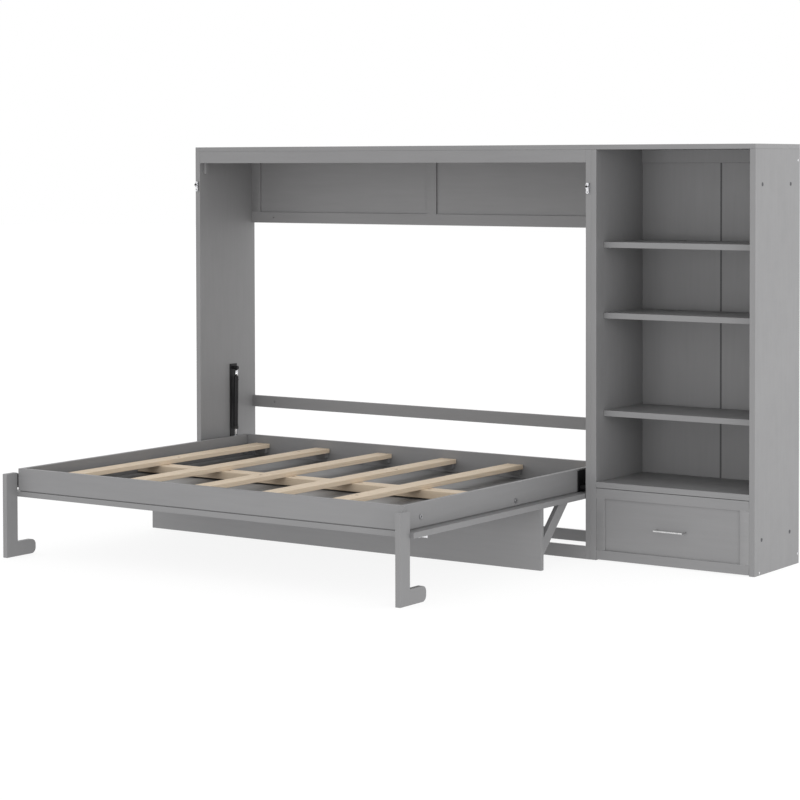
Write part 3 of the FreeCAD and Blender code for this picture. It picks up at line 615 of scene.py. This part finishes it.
def bolt_socket_shades():
    """Hexagon sockets on the bolt heads of the bed's side rails, as black hexagonal plugs that paint the
    shade in the hollow sockets, and raised rims around them.
    """
    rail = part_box("bed_front_rail")[0]
    beam = middle_of("bed_centre_beam")
    head_height = 0.003
    left = rail[0] - head_height
    corner_bolt = (rail[1] + 0.110, rail[2] + 0.043)
    beam_bolt = (beam[1] + 0.015, beam[2])
    places = both_sides((left, *corner_bolt)) + both_sides((left, *beam_bolt))
    socket = [(-0.0015, 0.0), (-0.0015, 0.0032), (0.0003, 0.0032), (0.0003, 0.0)]
    rim = [(-0.0004, 0.0034), (0.0006, 0.0038), (0.0006, 0.0050), (-0.0004, 0.0056)]

    def outward(place):
        return (-1, 0, 0) if place[0] < CENTRE_X else (1, 0, 0)

    def sockets(work):
        for place in places:
            turned(work, socket, place, outward(place), 6)

    def rims(work):
        for place in places:
            turned(work, rim, place, outward(place), 28)

    # Painted shade: the black hexagons stand for the shaded hollows of the sockets.
    mesh_piece("bolt_socket_shades", sockets, rubber_and_hollow_shade, "bed", smooth=False)
    mesh_piece("bolt_rims", rims, dark_zinc, "bed")


def spring_fittings():
    """Crimped collars, end caps and ferrules on the gas springs."""
    top_collar = [(0.0, 0.0112), (0.001, 0.0118), (0.006, 0.0118), (0.007, 0.0112)]
    low_collar = [(0.0, 0.0112), (0.001, 0.0117), (0.0035, 0.0117), (0.0045, 0.0112)]
    cap_outline = [(0.0, 0.0112), (0.0, 0.0122), (0.011, 0.0122), (0.014, 0.0108), (0.014, 0.0056)]
    ferrule_outline = [(0.0, 0.0052), (0.001, 0.0076), (0.020, 0.0076), (0.026, 0.0060), (0.026, 0.0051)]
    end_radius = 0.009
    top_collar_at = 0.052
    low_collar_at = 0.266
    end_cap_at = 0.274
    ferrule_at = 0.012
    for side in ("left", "right"):
        body = "strut_cylinder_%s_body" % side
        low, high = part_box("strut_cylinder_" + side)
        rod_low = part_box("strut_rod_" + side)[0]
        x = (low[0] + high[0]) / 2
        stud = Vector((x, high[1] - end_radius, high[2] - end_radius))
        foot = Vector((x, rod_low[1] + end_radius, rod_low[2] + end_radius))
        along = (foot - stud).normalized()

        def collar(work, at=stud, to=along):
            turned(work, top_collar, at + to * top_collar_at, to, 36)
            turned(work, low_collar, at + to * low_collar_at, to, 36)

        def end_cap(work, at=stud, to=along):
            turned(work, cap_outline, at + to * end_cap_at, to, 36)

        def ferrule(work, at=stud, to=along):
            turned(work, ferrule_outline, at + to * ferrule_at, to, 32)

        mesh_piece("spring_collars_" + side, collar, black, body)
        mesh_piece("spring_end_cap_" + side, end_cap, rubber_and_hollow_shade, body)
        mesh_piece("spring_ferrule_" + side, ferrule, chrome, body)


def latch_knobs():
    """Dark rubber tips on the latch levers' finger tabs."""
    outline = [(-0.002, 0.0), (-0.002, 0.0042), (0.001, 0.0048), (0.0040, 0.0042), (0.0046, 0.0)]
    tab_height = 0.030
    sunk = 0.004
    for side in ("left", "right"):
        low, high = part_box("latch_lever_" + side)
        x = (low[0] + high[0]) / 2
        z = low[2] + tab_height

        def knob(work, at=(x, low[1] + sunk, z)):
            turned(work, outline, at, (0, -1, 0), 24)

        mesh_piece("latch_knob_" + side, knob, rubber_and_hollow_shade, "latch_" + side)


mechanism_screws()
bracket_screws()
corner_screws()
latch_screws()
outer_screws()
slat_screws()
bolt_socket_shades()
spring_fittings()
latch_knobs()


# ---- floor, light, camera --------------------------------------------------------------------------
def stage_floor():
    mesh = bpy.data.meshes.new("floor")
    work = bmesh.new()
    corners = [(-FLOOR_REACH, -FLOOR_REACH), (FLOOR_REACH, -FLOOR_REACH),
               (FLOOR_REACH, FLOOR_REACH), (-FLOOR_REACH, FLOOR_REACH)]
    work.faces.new([work.verts.new((x, y, -FLOOR_DROP)) for x, y in corners])
    work.to_mesh(mesh)
    work.free()
    mesh.materials.append(floor_finish())
    floor = bpy.data.objects.new("floor", mesh)
    bpy.context.scene.collection.objects.link(floor)


def soft_light(name, place, target, size, power):
    data = bpy.data.lights.new(name, "AREA")
    data.shape = "RECTANGLE"
    data.size, data.size_y = size
    data.energy = power
    light = bpy.data.objects.new(name, data)
    light.location = place
    aim = Vector(target) - Vector(place)
    light.rotation_mode = "QUATERNION"
    light.rotation_quaternion = aim.to_track_quat("-Z", "Y")
    light.visible_camera = False
    bpy.context.scene.collection.objects.link(light)


def studio():
    world = bpy.data.worlds.new("studio")
    world.use_nodes = True
    sky = world.node_tree.nodes["Background"]
    sky.inputs["Color"].default_value = (1.0, 1.0, 1.0, 1.0)
    sky.inputs["Strength"].default_value = SKY_STRENGTH
    bpy.context.scene.world = world
    for light in LIGHTS:
        soft_light(*light)
    view = bpy.context.scene.view_settings
    view.view_transform = "Standard"
    view.look = "None"


def camera():
    data = bpy.data.cameras.new("camera")
    data.sensor_width = 36.0
    data.lens = CAMERA_LENS
    data.shift_x, data.shift_y = CAMERA_SHIFT
    data.clip_end = 200.0
    eye = bpy.data.objects.new("camera", data)
    eye.location = CAMERA_PLACE
    turn = (90 - CAMERA_PITCH, CAMERA_ROLL, CAMERA_YAW)
    eye.rotation_euler = tuple(math.radians(angle) for angle in turn)
    bpy.context.scene.collection.objects.link(eye)
    bpy.context.scene.camera = eye


stage_floor()
studio()
camera()
